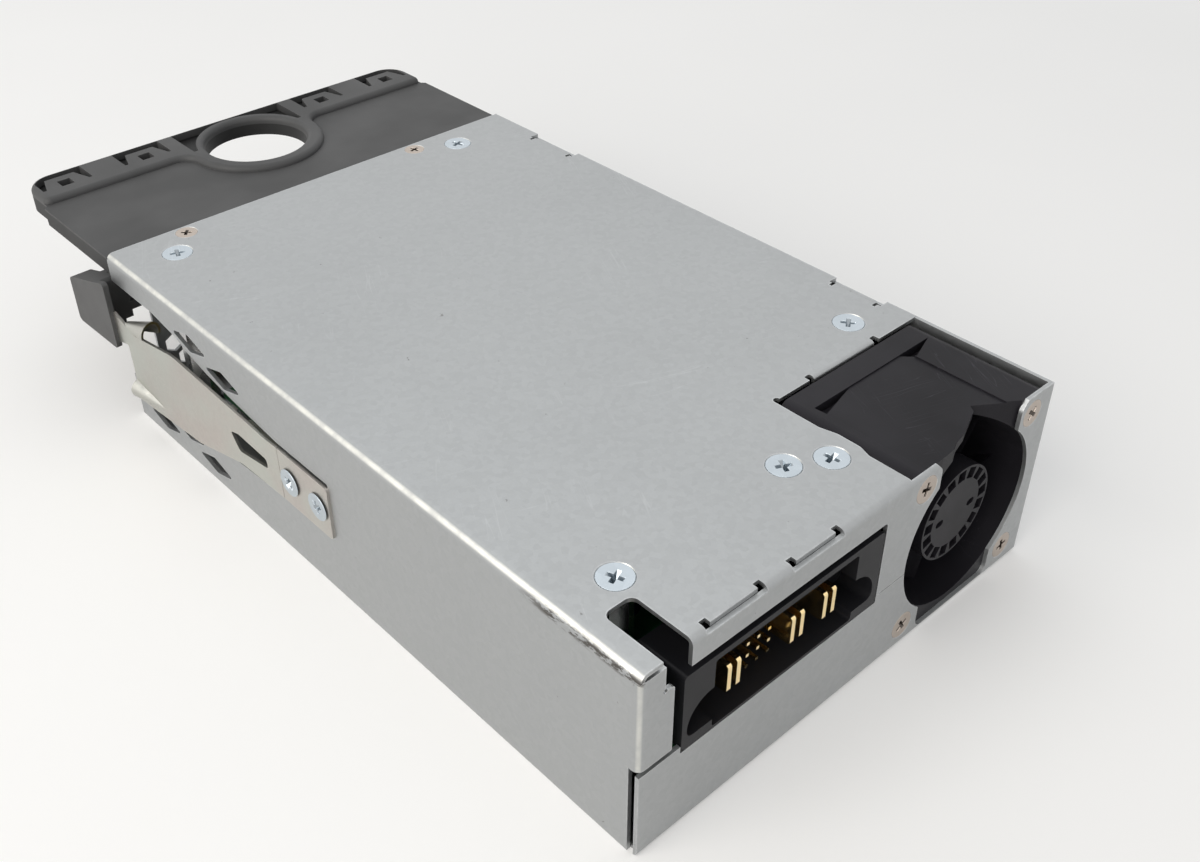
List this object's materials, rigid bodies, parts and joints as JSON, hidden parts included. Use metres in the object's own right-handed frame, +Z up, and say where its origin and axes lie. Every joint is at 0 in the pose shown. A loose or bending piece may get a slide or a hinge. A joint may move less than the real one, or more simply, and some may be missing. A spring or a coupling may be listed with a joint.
{
  "type": "hot swap server power supply",
  "caption": "Slide-in server power supply: folded steel case, sprung side latch with thumb tab, finger-ring handle, axial fan beside a blade output connector, mains inlet outside.",
  "frame": {"origin": "centre of the case's bottom face", "axes": "+Z up, +Y from the inner end (output connector and fan) to the outer end (handle and mains inlet), +X away from the latch wall"},
  "size_m": [0.1094, 0.2036, 0.0416],
  "materials": {
    "galvanised_steel": "satin",
    "spring_steel": "satin",
    "zinc_screw": "satin",
    "nickel_screw": "satin",
    "handle_plastic": "matte",
    "tab_plastic": "matte",
    "fan_plastic": "satin",
    "connector_plastic": "matte",
    "gold_contact": "polished",
    "board_laminate": "satin",
    "clear_sheet": "satin",
    "steel_pin": "polished",
    "bronze": "satin",
    "magnet": "matte",
    "laminated_iron": "satin",
    "copper": "satin",
    "ferrite": "matte",
    "winding_tape": "satin",
    "capacitor_sleeve": "satin",
    "film_capacitor": "satin",
    "heatsink_aluminium": "matte",
    "component_black": "matte",
    "led_lens": "polished"
  },
  "bodies": {
    "housing": {"base_chassis": "galvanised_steel", "top_cover": "galvanised_steel", "rear_panel": "galvanised_steel", "cover_posts": "steel_pin", "cover_screws": "zinc_screw", "handle": "handle_plastic", "handle_screws": "nickel_screw", "latch_root": "spring_steel", "latch_nut_plate": "steel_pin", "latch_screws": "zinc_screw", "fan_frame": "fan_plastic", "fan_bearings": "bronze", "fan_stator": "laminated_iron", "fan_coils": "copper", "fan_screws": "nickel_screw", "connector_housing": "connector_plastic", "power_blades": "gold_contact", "signal_pins": "gold_contact", "connector_board": "board_laminate", "main_board": "board_laminate", "insulating_sheet": "clear_sheet", "board_standoffs": "steel_pin", "board_screws": "zinc_screw", "bus_bars": "copper", "bulk_capacitors": "capacitor_sleeve", "transformer_core": "ferrite", "transformer_winding": "winding_tape", "pfc_choke": "copper", "emi_choke": "copper", "x_capacitor": "film_capacitor", "output_capacitors": "capacitor_sleeve", "primary_heatsink": "heatsink_aluminium", "output_heatsink": "heatsink_aluminium", "power_transistors": "component_black", "ac_inlet": "component_black", "inlet_pins": "steel_pin", "status_led": "led_lens"},
    "latch": {"latch_arm": "spring_steel", "latch_tab": "tab_plastic"},
    "fan": {"fan_rotor": "fan_plastic", "fan_magnet": "magnet", "fan_shaft": "steel_pin"}
  },
  "joints": [
    {"name": "latch_press", "type": "hinge", "parent": "housing", "child": "latch", "pos_m": [-0.05305, 0.01675, 0.0202], "axis": [0, 0, -1], "range_deg": [0, 1.5], "stiffness_Nm_per_rad": 8},
    {"name": "fan_spin", "type": "hinge", "parent": "housing", "child": "fan", "pos_m": [0.03085, -0.06545, 0.0209], "axis": [0, 1, 0], "continuous": true}
  ]
}
